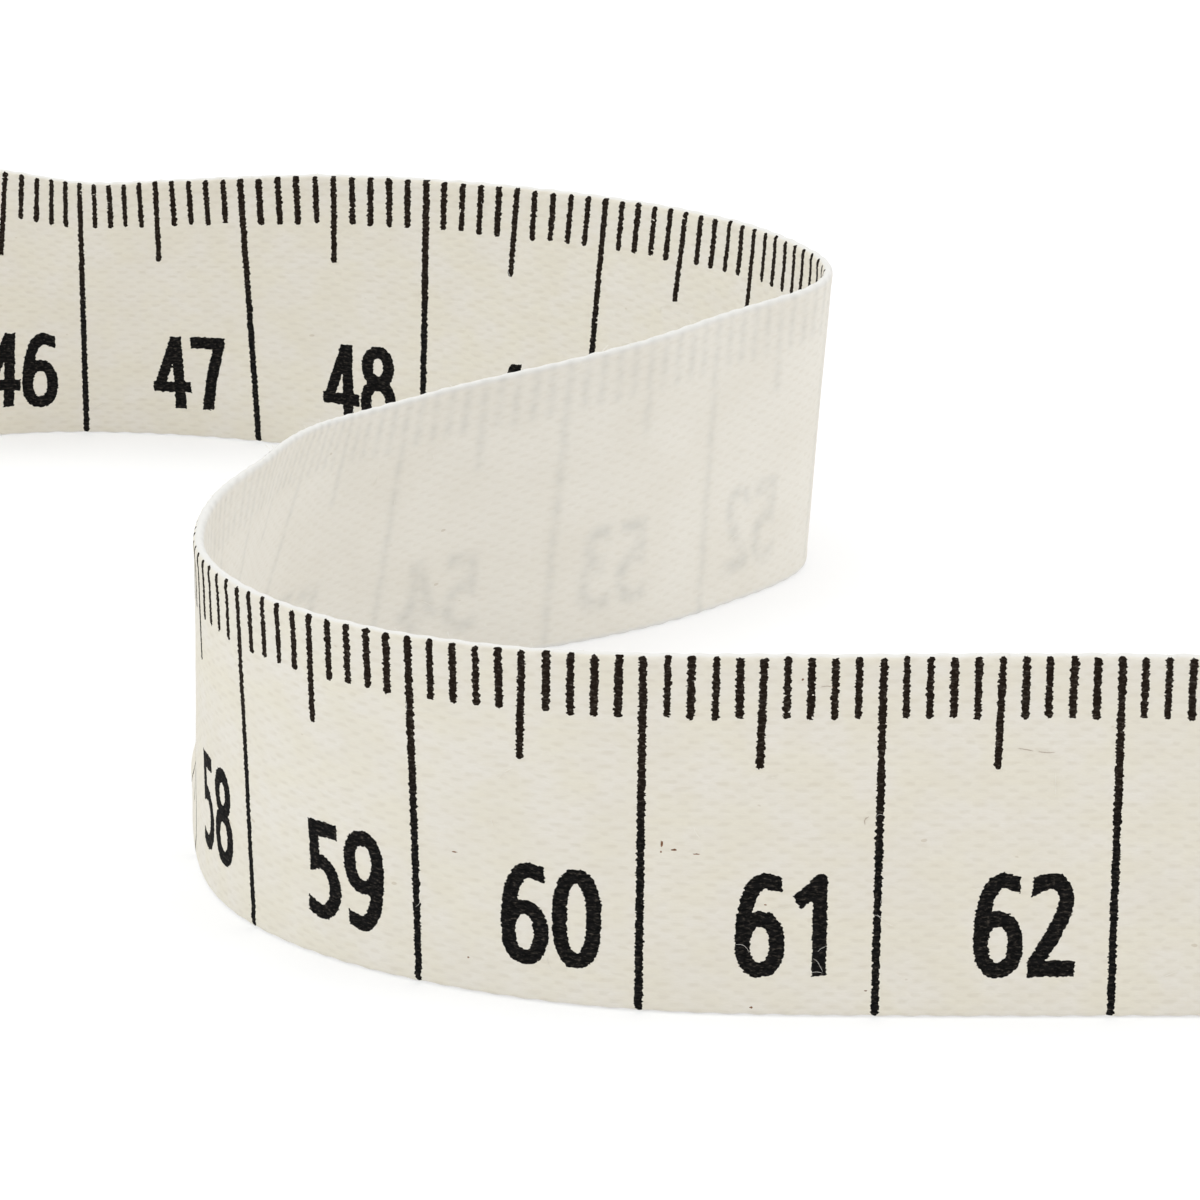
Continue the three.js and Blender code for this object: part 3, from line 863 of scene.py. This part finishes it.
def brass_material(name, bright):
    m, nt, p = tree(name)
    net = Net(nt)
    t = nt.nodes.new("ShaderNodeTexCoord").outputs["Object"]
    cloud = net.noise(t, 420.0, 4.0, 0.6)
    fine = net.noise(t, 2600.0, 3.0, 0.6)
    base = net.mix(net.ramp(cloud, 0.36, 0.68), tuple(0.92 * c for c in bright), bright)
    base = net.mix(net.ramp(fine, 0.60, 0.80, 0.0, 0.45), base, (0.30, 0.19, 0.075))
    nt.links.new(base, p.inputs["Base Color"])
    p.inputs["Metallic"].default_value = 1.0
    nt.links.new(net.ramp(cloud, 0.3, 0.7, 0.24, 0.42, False), p.inputs["Roughness"])
    nt.links.new(net.bump(fine, 0.00002, 0.35), p.inputs["Normal"])
    return m


COTTON, INK, FLECK, FIBRE = cotton_material(), ink_material(), fleck_material(), fibre_material()
BRASS = brass_material("folded_brass", (0.78, 0.57, 0.25))
EYELET_BRASS = brass_material("eyelet_brass", (0.84, 0.66, 0.33))
CLOTH = [COTTON, INK, FLECK]


# ---------------------------------------------------------------- the band's six stretches
def circle(s, w, r, n, ry=None):
    a = np.linspace(0, 2 * math.pi, n, endpoint=False)
    return np.stack([s + r * np.cos(a), w + (ry or r) * np.sin(a)], 1)


def speck(s, w, rs, rw, seed):
    r = np.random.default_rng(seed).uniform(0.65, 1.2, 9)
    a = np.linspace(0, 2 * math.pi, 9, endpoint=False)
    return np.stack([s + rs * r * np.cos(a), w + rw * r * np.sin(a)], 1)


NEAR = dict(h=0.029, edge_step=0.16, step_s=0.5, step_v=0.5, back_s=0.26, back_v=0.26)
FINE = dict(h=0.045, edge_step=0.16, step_s=0.5, step_v=0.5, back_s=0.26, back_v=0.26)
COARSE = dict(h=0.13, edge_step=0.7, step_s=1.1, step_v=2.2, back_s=1.1, back_v=1.0)

front_flecks = [speck(600.86, 7.62, 0.06, 0.15, 1), speck(601.38, 7.36, 0.14, 0.06, 2), speck(600.83, 7.26, 0.05, 0.05, 3),
                speck(602.3, 7.20, 0.15, 0.030, 4), speck(606.65, 14.93, 0.055, 0.065, 5), speck(605.25, 5.00, 0.06, 0.035, 6),
                speck(604.70, 0.42, 0.075, 0.05, 7), speck(609.54, 1.22, 0.07, 0.03, 8),
                speck(591.90, 6.40, 0.13, 0.030, 9), speck(592.40, 1.63, 0.055, 0.04, 10)]
tape_start_roll = band_piece("band_start_roll", BAND_SHORT, 444.0, CLOTH, holes=[circle(EYELET_AT, 8.0, HOLE_R, 40)], **COARSE)
tape_far_left = band_piece("band_far_left", 444.0, 490.0, CLOTH, **FINE)
tape_right_bend = band_piece("band_right_bend", 490.0, 540.0, CLOTH, **FINE)
tape_left_bend = band_piece("band_left_bend", 540.0, 610.0, CLOTH, flecks=front_flecks, **NEAR)
tape_near_right = band_piece("band_near_right", 610.0, 646.0, CLOTH, **NEAR)
tape_end_roll = band_piece("band_end_roll", 646.0, LENGTH - BAND_SHORT, CLOTH, holes=[circle(LENGTH - EYELET_AT, 8.0, HOLE_R, 40)], **COARSE)


def mm(s, w=8.0):
    """A place on the band's middle surface, in metres."""
    x, y = place(np.array([s]))
    a, l = heading(np.array([s])), lean(np.array([s]))
    o = np.sin(l) * w
    return (float(x[0] - np.sin(a)[0] * o[0]) / 1000, float(y[0] + np.cos(a)[0] * o[0]) / 1000, float(np.cos(l)[0] * w) / 1000)


def along_joint(s, half):
    """Start and end of a bend: before the flex line at s, and after it, straight along the band there."""
    x, y, z = mm(s)
    a = float(heading(np.array([s]))[0])
    dx, dy = -math.cos(a) * half / 1000, -math.sin(a) * half / 1000
    return (x - dx, y - dy, z), (x + dx, y + dy, z)


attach(tape_start_roll, "start_roll")
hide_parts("tape_start_roll")
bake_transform(tape_far_left, "start_roll", "back_run", *along_joint(450.0, 4.5))
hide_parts("tape_back_run")
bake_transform(tape_right_bend, "back_run", "middle_run", *along_joint(509.0, 6.0))
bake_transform(tape_left_bend, "middle_run", "front_run", *along_joint(578.0, 6.0))
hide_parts("tape_middle_run", "tape_front_run")
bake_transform(tape_near_right, "front_run", "end_roll", *along_joint(634.0, 6.0))
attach(tape_end_roll, "end_roll")
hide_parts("tape_end_roll")


# ---------------------------------------------------------------- folded tips and their eyelets
def plain_mesh(name, points_mm, faces, material):
    me = bpy.data.meshes.new(name)
    me.from_pydata((np.asarray(points_mm) * 0.001).tolist(), [], [tuple(int(k) for k in f) for f in faces])
    me.materials.append(material)
    me.polygons.foreach_set("use_smooth", np.ones(len(me.polygons), bool))
    me.validate()
    me.update()
    me.set_sharp_from_angle(angle=math.radians(52))
    ob = bpy.data.objects.new(name, me)
    bpy.context.scene.collection.objects.link(ob)
    return ob


def tip_frame(end):
    """Where a tip sits: its outer end, and the direction from there into the band."""
    x, y = place(np.array([end, 5.0 if end < 1 else LENGTH - 5.0]))
    turn = math.atan2(y[1] - y[0], x[1] - x[0])
    return x[0], y[0], turn


def to_world(points, end):
    ox, oy, turn = tip_frame(end)
    c, q = math.cos(turn), math.sin(turn)
    p = np.asarray(points)
    return np.stack([ox + c * p[:, 0] - q * p[:, 1], oy + q * p[:, 0] + c * p[:, 1], p[:, 2]], 1)


FOLD_R = (TIP_SLOT + TIP_SHEET) / 2           # middle of the sheet in the fold
FOLD_X = TIP_SLOT / 2 + TIP_SHEET             # centre of the fold
ARC = FOLD_R * math.pi / 2
REACH = ARC + TIP_LENGTH - FOLD_X             # half of the sheet's developed length
CORNER, LIP = 0.8, 0.13                       # corners of the sheet, and the rounding of its edges


def tip_piece(name, end):
    hole_u = ARC + EYELET_AT - FOLD_X

    def outline_at(d):
        """The sheet's outline set in by d."""
        r = max(CORNER - d, 0.02)
        pts = []
        for cx, cz, a0 in ((REACH - CORNER, CORNER, -90), (REACH - CORNER, WIDTH - CORNER, 0), (CORNER - REACH, WIDTH - CORNER, 90), (CORNER - REACH, CORNER, 180)):
            for a in np.radians(np.linspace(a0, a0 + 90, 9)):
                pts.append((cx + r * math.cos(a), cz + r * math.sin(a)))
        out = []
        for k in range(len(pts)):
            p0, p1 = np.array(pts[k]), np.array(pts[(k + 1) % len(pts)])
            n = max(1, int(np.hypot(*(p1 - p0)) / 0.28))
            out += [p0 + (p1 - p0) * i / n for i in range(n)]
        return np.array(out)

    insets = [0.0, 0.02, 0.05, 0.09, LIP]
    outer = outline_at(0.0)
    pts, edges, faces = [outer], [(k, (k + 1) % len(outer)) for k in range(len(outer))], []
    at = len(outer)
    for u in (-hole_u, hole_u):
        q = circle(u, WIDTH / 2, HOLE_R, 72)
        faces.append(list(range(at, at + len(q))))
        pts.append(q); at += len(q)
    for d in insets[1:]:
        pts.append(outline_at(d))
        for u in (-hole_u, hole_u):
            pts.append(circle(u, WIDTH / 2, HOLE_R + d, 72))
    us = np.unique(np.round(np.concatenate([np.arange(-1.0, 1.001, 0.1), np.arange(1.3, REACH - 0.3, 0.22), -np.arange(1.3, REACH - 0.3, 0.22)]), 4))
    gu, gz = np.meshgrid(us, np.arange(0.5, WIDTH - 0.3, 0.5), indexing="ij")
    grid = np.stack([gu.ravel(), gz.ravel()], 1)
    ring_gap = np.minimum(np.hypot(grid[:, 0] - hole_u, grid[:, 1] - WIDTH / 2), np.hypot(grid[:, 0] + hole_u, grid[:, 1] - WIDTH / 2)) - HOLE_R
    rim_gap = np.minimum(np.minimum(grid[:, 1], WIDTH - grid[:, 1]), REACH - np.abs(grid[:, 0]))
    pts.append(grid[(ring_gap > 0.25) & (rim_gap > 0.3)])
    co, _, tri, _, _, of = delaunay_2d_cdt(np.concatenate(pts).tolist(), edges, faces, 0, 1e-6, True)
    co = np.array([(c[0], c[1]) for c in co])
    tri = np.array([f for f, k in zip(tri, of) if not k])
    # the hull's corner slivers outside the rounded corners go
    mid = co[tri].mean(1)
    cx, cz = np.abs(mid[:, 0]) - (REACH - CORNER), np.abs(mid[:, 1] - WIDTH / 2) - (WIDTH / 2 - CORNER)
    tri = tri[~((cx > 0) & (cz > 0) & (np.hypot(cx, cz) > CORNER - 1e-4))]
    u, z = co[:, 0], co[:, 1]
    cx, cz = np.abs(u) - (REACH - CORNER), np.abs(z - WIDTH / 2) - (WIDTH / 2 - CORNER)
    rim = np.where((cx > 0) & (cz > 0), CORNER - np.hypot(cx, cz), CORNER - np.maximum(cx, cz))
    ring_d = np.minimum(np.hypot(u - hole_u, z - WIDTH / 2), np.hypot(u + hole_u, z - WIDTH / 2)) - HOLE_R
    d = np.clip(np.minimum(rim, ring_d), 0, LIP)
    half = TIP_SHEET / 2 * np.sqrt(np.clip(1 - ((LIP - d) / LIP) ** 2, 0, 1))
    flat = np.abs(u) > ARC
    theta = np.clip(u / FOLD_R, -math.pi / 2, math.pi / 2)
    x = np.where(flat, FOLD_X + np.abs(u) - ARC, FOLD_X - FOLD_R * np.cos(theta))
    y = FOLD_R * np.sin(theta)
    nx, ny = np.where(flat, 0, -np.cos(theta)), np.sin(theta)
    # two crimps across each leaf press it towards the band, and the metal is very slightly dished
    dent = 0.13 * (np.exp(-((x - 9.35) / 0.34) ** 2) + np.exp(-((x - 10.75) / 0.34) ** 2)) * np.clip((np.minimum(z, WIDTH - z) - 0.7) / 0.8, 0, 1)
    wave_ = 0.02 * noise(x / 2.7 + (u > 0) * 11.3, z / 3.1 + end, 2)
    shift = np.where(flat, wave_ * 0.6 - dent, 0)
    open_ = np.stack([x + nx * (half + shift), y + ny * (half + shift), z], 1)
    inside = np.stack([x + nx * (-half + shift), y + ny * (-half + shift), z], 1)
    n = len(co)
    edge = half < 1e-4
    index = np.where(edge, np.arange(n), np.arange(n) + n)
    # u rises from one leaf to the other: the outside of the fold looks towards (nx, ny), so u x z gives the inside
    a, b, c = co[tri[:, 0]], co[tri[:, 1]], co[tri[:, 2]]
    tri = np.where(((b - a)[:, :1] * (c - a)[:, 1:] - (b - a)[:, 1:] * (c - a)[:, :1]) > 0, tri, tri[:, ::-1])
    allp = to_world(np.concatenate([open_, inside]), end)
    both = np.concatenate([tri[:, ::-1], index[tri]])
    live = np.unique(both)
    remap = np.full(2 * n, -1)
    remap[live] = np.arange(len(live))
    ob = plain_mesh(name, allp[live], remap[both], BRASS)
    return ob


def eyelet_piece(name, end):
    upper = smooth([(BORE_R, 0.80), (BORE_R + 0.03, 0.97), (BORE_R + 0.15, 1.10), (BORE_R + 0.36, 1.17), (BORE_R + 0.62, 1.175), (2.50, 1.12),
                    (2.82, 0.99), (3.02, 0.86), (3.09, 0.79), (3.07, 0.745), (2.98, 0.735), (2.55, 0.76), (2.12, 0.80)], 4)
    half = np.concatenate([[(BORE_R, 0.0), (BORE_R, 0.4)], upper, [(TUBE_R + 0.03, 0.74), (TUBE_R, 0.62), (TUBE_R, 0.3)]])
    low = half[1:][::-1] * (1, -1)
    profile = np.concatenate([half, [(TUBE_R, 0.0)], low])
    n, m = 72, len(profile)
    a = np.linspace(0, 2 * math.pi, n, endpoint=False)
    pts = np.stack([EYELET_AT + profile[None, :, 0] * np.cos(a)[:, None], np.broadcast_to(profile[None, :, 1], (n, m)),
                    WIDTH / 2 + profile[None, :, 0] * np.sin(a)[:, None]], 2).reshape(-1, 3)
    faces = [(i * m + j, i * m + (j + 1) % m, ((i + 1) % n) * m + (j + 1) % m, ((i + 1) % n) * m + j) for i in range(n) for j in range(m)]
    ob = plain_mesh(name, to_world(pts, end), faces, EYELET_BRASS)
    return ob


for key, end, body in (("start", 0.0, "start_roll"), ("end", LENGTH, "end_roll")):
    tip = tip_piece(f"{key}_tip_sheet", end)
    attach(tip, body)
    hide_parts(f"{key}_tip")
    eyelet = eyelet_piece(f"{key}_eyelet_rolled", end)
    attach(eyelet, body)
    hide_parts(f"{key}_tip_eyelet")


# ---------------------------------------------------------------- loose fibres
def on_band(s, w, side, h):
    """A point at height h above one face of the band."""
    s, w, h = np.atleast_1d(s).astype(float), np.atleast_1d(w).astype(float), np.atleast_1d(h).astype(float)
    x, y = place(s)
    a, l = heading(s), lean(s)
    out = np.sin(l) * w + side * (THICK / 2 + 0.02 + h)
    return np.stack([x - np.sin(a) * out, y + np.cos(a) * out, np.cos(l) * w], 1)


def tubes(name, lines, radius, material, body):
    pts, faces = [], []
    at = 0
    for line in lines:
        p = np.asarray(line)
        d = np.gradient(p, axis=0)
        d /= np.maximum(np.linalg.norm(d, axis=1, keepdims=True), 1e-9)
        ref = np.where(np.abs(d[:, 2:]) > 0.9, [[1.0, 0, 0]], [[0, 0, 1.0]])
        e = np.cross(d, ref)
        e /= np.linalg.norm(e, axis=1, keepdims=True)
        f = np.cross(d, e)
        n = len(p)
        r = radius * (1 - 0.65 * np.linspace(-1, 1, n) ** 4)[:, None]
        for k in range(5):
            a = 2 * math.pi * k / 5
            pts.append(p + r * (e * math.cos(a) + f * math.sin(a)))
        ids = at + np.arange(5)[:, None] * n + np.arange(n)[None, :]
        for k in range(5):
            q = (k + 1) % 5
            faces += [(ids[k, i], ids[q, i], ids[q, i + 1], ids[k, i + 1]) for i in range(n - 1)]
        faces += [tuple(ids[::-1, 0]), tuple(ids[:, -1])]
        at += 5 * n
    ob = plain_mesh(name, np.concatenate(pts), faces, material)
    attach(ob, body)
    return ob


def hair(points, side=1, lift_=0.02):
    """A fibre lying on the band through the given (s, w) points, its ends a little raised."""
    p = smooth(points, 6)
    t_ = np.linspace(-1, 1, len(p))
    return on_band(p[:, 0], p[:, 1], side, lift_ * (0.35 + 0.9 * t_ ** 2))


def fuzz(seed, s0, s1, count):
    """Short fibre ends that stand out of the upper and lower selvedges."""
    r = np.random.default_rng(seed)
    out = []
    for _ in range(count):
        s, side = r.uniform(s0, s1), r.choice([-1, 1])
        top = r.uniform() < 0.75
        w0 = WIDTH - r.uniform(0.0, 0.22) if top else r.uniform(0.1, 0.3)
        n, size = 7, r.uniform(0.18, 0.75)
        u = np.linspace(0, 1, n)
        bend, drift = r.uniform(-1, 1), r.uniform(-0.9, 0.9)
        ds = size * (drift * u + 0.35 * bend * u * u)
        dw = (size * 0.45 * u * (1 - 0.5 * abs(drift) * u)) if top else size * 0.3 * u * (1 - u)
        h = -0.12 + size * 0.42 * u * (0.4 + 0.6 * u) * r.uniform(0.2, 1.0)
        out.append(on_band(s + ds, w0 + dw, side, h))
    return out


def lint(seed, s0, s1, count, side=1):
    """Fine hairs lying on a face of the band."""
    r = np.random.default_rng(seed)
    out = []
    for _ in range(count):
        s, w, a, size = r.uniform(s0 + 1, s1 - 1), r.uniform(1.0, 15.0), r.uniform(0, math.pi), r.uniform(0.3, 1.1)
        u = np.linspace(-0.5, 0.5, 4)
        bend = r.uniform(-0.5, 0.5)
        pts = [(s + size * (x * math.cos(a) - bend * x * x * math.sin(a)), np.clip(w + size * (x * math.sin(a) + bend * x * x * math.cos(a)), 0.4, 15.6)) for x in u]
        out.append(hair(pts, side))
    return out


front_hairs = [hair([(604.0, 3.24), (604.3, 3.22), (604.5, 3.06), (604.6, 2.88)]), hair([(607.30, 2.66), (607.46, 2.53), (607.6, 2.3), (607.70, 2.08)]),
               hair([(607.18, 2.02), (607.45, 2.06), (607.70, 2.02)]), hair([(607.46, 2.95), (607.62, 3.10), (607.84, 3.22)]),
               hair([(609.82, 4.62), (610.0, 4.56), (610.18, 4.52)]), hair([(609.80, 8.9), (609.96, 9.05), (610.22, 9.0)])]
tubes("fibres_on_print", front_hairs, 0.006, FIBRE, "front_run")
tubes("fibres_front_run", lint(11, 588, 626, 14) + fuzz(12, 588, 626, 46), 0.008, FIBRE, "front_run")
tubes("fibres_middle_run", lint(21, 516, 570, 10, -1) + fuzz(22, 516, 571, 48), 0.009, FIBRE, "middle_run")
tubes("fibres_back_run", lint(31, 458, 501, 10) + fuzz(32, 458, 501, 34), 0.009, FIBRE, "back_run")
tubes("dark_threads", [hair([(615.75, 11.92), (616.1, 11.86), (616.4, 11.80)], 1, 0.01), hair([(616.6, 11.78), (616.9, 11.73), (617.3, 11.74)], 1, 0.01),
                       hair([(607.4, 14.62), (607.7, 14.66), (608.0, 14.60)], 1, 0.01),
                       hair([(609.52, 8.95), (609.36, 8.80), (609.38, 8.58)], 1, 0.01)], 0.007, FLECK, "front_run")


# ---------------------------------------------------------------- floor, light and camera
def floor():
    me = bpy.data.meshes.new("floor")
    r = 6.0
    me.from_pydata([(-r, -r, 0), (r, -r, 0), (r, r, 0), (-r, r, 0)], [], [(0, 1, 2, 3)])
    ob = bpy.data.objects.new("floor", me)
    bpy.context.scene.collection.objects.link(ob)
    m, nt, p = tree("pale_floor")
    net = Net(nt)
    t = nt.nodes.new("ShaderNodeTexCoord").outputs["Object"]
    base = net.mix(net.noise(t, 4.0, 2.0), (0.53, 0.53, 0.53), (0.545, 0.545, 0.545))
    nt.links.new(base, p.inputs["Base Color"])
    # a lit table, so shadows on it stay faint
    p.inputs["Emission Color"].default_value = (1.0, 1.0, 1.0, 1.0)
    p.inputs["Emission Strength"].default_value = 0.45
    p.inputs["Roughness"].default_value = 0.95
    p.inputs["Specular IOR Level"].default_value = 0.0
    me.materials.append(m)


floor()


def area(name, at, to, size, power, colour=(1, 1, 1)):
    l = bpy.data.lights.new(name, "AREA")
    l.shape, l.size, l.energy, l.color = "DISK", size, power, colour
    o = bpy.data.objects.new(name, l)
    bpy.context.scene.collection.objects.link(o)
    from mathutils import Vector
    d = Vector(to) - Vector(at)
    o.rotation_euler = d.to_track_quat("-Z", "Y").to_euler()
    o.location = at
    return o


area("overhead", (-0.10, 0.05, 0.90), (0, 0, 0), 0.9, 3.0)
area("side_left", (-0.85, -0.40, 0.55), (0, -0.02, 0.008), 0.7, 2.2, (0.84, 0.94, 1.0))
area("side_right", (0.90, -0.25, 0.52), (0, -0.02, 0.008), 0.7, 2.2)
world = bpy.data.worlds.new("studio")
bpy.context.scene.world = world
world.use_nodes = True
world.node_tree.nodes["Background"].inputs["Color"].default_value = (1.0, 1.0, 1.0, 1.0)
world.node_tree.nodes["Background"].inputs["Strength"].default_value = 0.80

cam = bpy.data.cameras.new("camera")
cam.sensor_fit, cam.sensor_width, cam.lens = "HORIZONTAL", 36.0, 196.0
cam.clip_start, cam.clip_end = 0.01, 50.0
camera = bpy.data.objects.new("camera", cam)
bpy.context.scene.collection.objects.link(camera)
camera.matrix_world = (Matrix.Translation((0.0012642, -0.3152489, 0.097255))
                       @ Matrix.Rotation(math.radians(90 - 16.8736), 4, "X") @ Matrix.Rotation(math.radians(0.4482), 4, "Z"))
bpy.context.scene.camera = camera
bpy.context.scene.view_settings.view_transform = "Standard"
bpy.context.scene.view_settings.look = "None"

bpy.context.view_layer.update()
